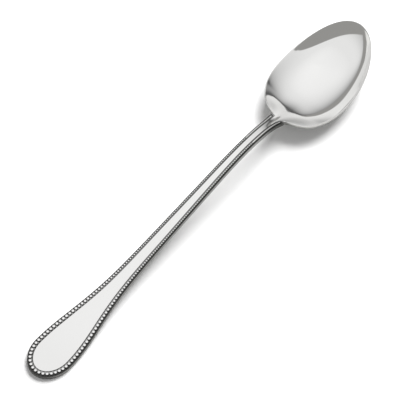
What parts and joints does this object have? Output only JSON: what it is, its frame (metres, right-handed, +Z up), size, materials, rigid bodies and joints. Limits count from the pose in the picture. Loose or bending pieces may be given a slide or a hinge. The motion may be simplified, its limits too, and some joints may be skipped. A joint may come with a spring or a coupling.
{
  "type": "infant feeding spoon",
  "caption": "Polished steel feeding spoon with an egg-shaped bowl, a slim shank and a flared handle end edged with a beaded border.",
  "frame": {"origin": "middle of the spoon's length and width, on the table plane that it rests on", "axes": "+X from the handle's end to the tip of the bowl, +Y to the left when the bowl points away, +Z up out of the bowl"},
  "size_m": [0.15, 0.0258, 0.0135],
  "materials": {
    "polished_steel": "mirror-polished stainless steel",
    "beaded_steel": "polished stainless steel, darker in the recesses between the beads"
  },
  "bodies": {
    "root": {"bowl": "polished_steel", "neck": "polished_steel", "shank": "polished_steel", "handle_end": "polished_steel", "bead_row_left": "beaded_steel", "bead_row_right": "beaded_steel", "bead_arc_end": "beaded_steel"}
  },
  "joints": []
}
